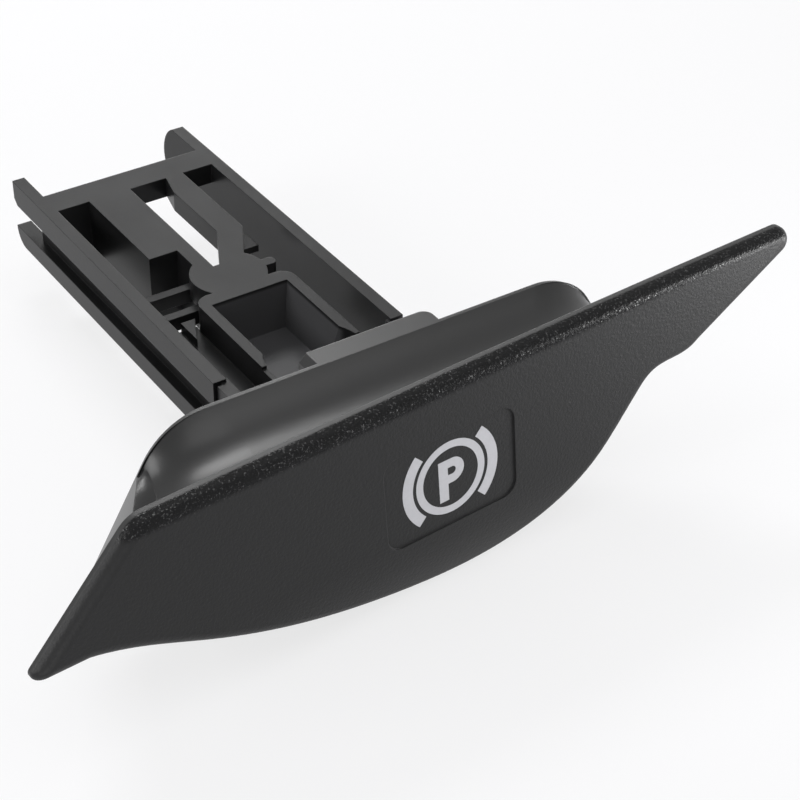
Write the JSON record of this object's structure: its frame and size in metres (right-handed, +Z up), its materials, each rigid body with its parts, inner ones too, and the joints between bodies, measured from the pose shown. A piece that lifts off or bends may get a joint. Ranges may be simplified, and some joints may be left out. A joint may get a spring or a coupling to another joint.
{
  "type": "parking brake release handle",
  "caption": "Winged pull handle with a parking brake symbol, a dished hood behind it, and a ribbed slide with grooved guide rails.",
  "frame": {"origin": "centre of the guide rail section, in the plane of the slide's front shoulder", "axes": "+X to the driver's right across the handle, +Y along the guide rails into the dashboard, +Z up; the face looks along -Y"},
  "size_m": [0.1586, 0.1402, 0.0443],
  "materials": {
    "grip_plastic": "black, fine grain on the face, semi-gloss behind it",
    "slide_plastic": "black, satin",
    "symbol_print": "light grey print"
  },
  "bodies": {
    "root": {"grip": "grip_plastic", "slide": "slide_plastic"}
  },
  "joints": []
}
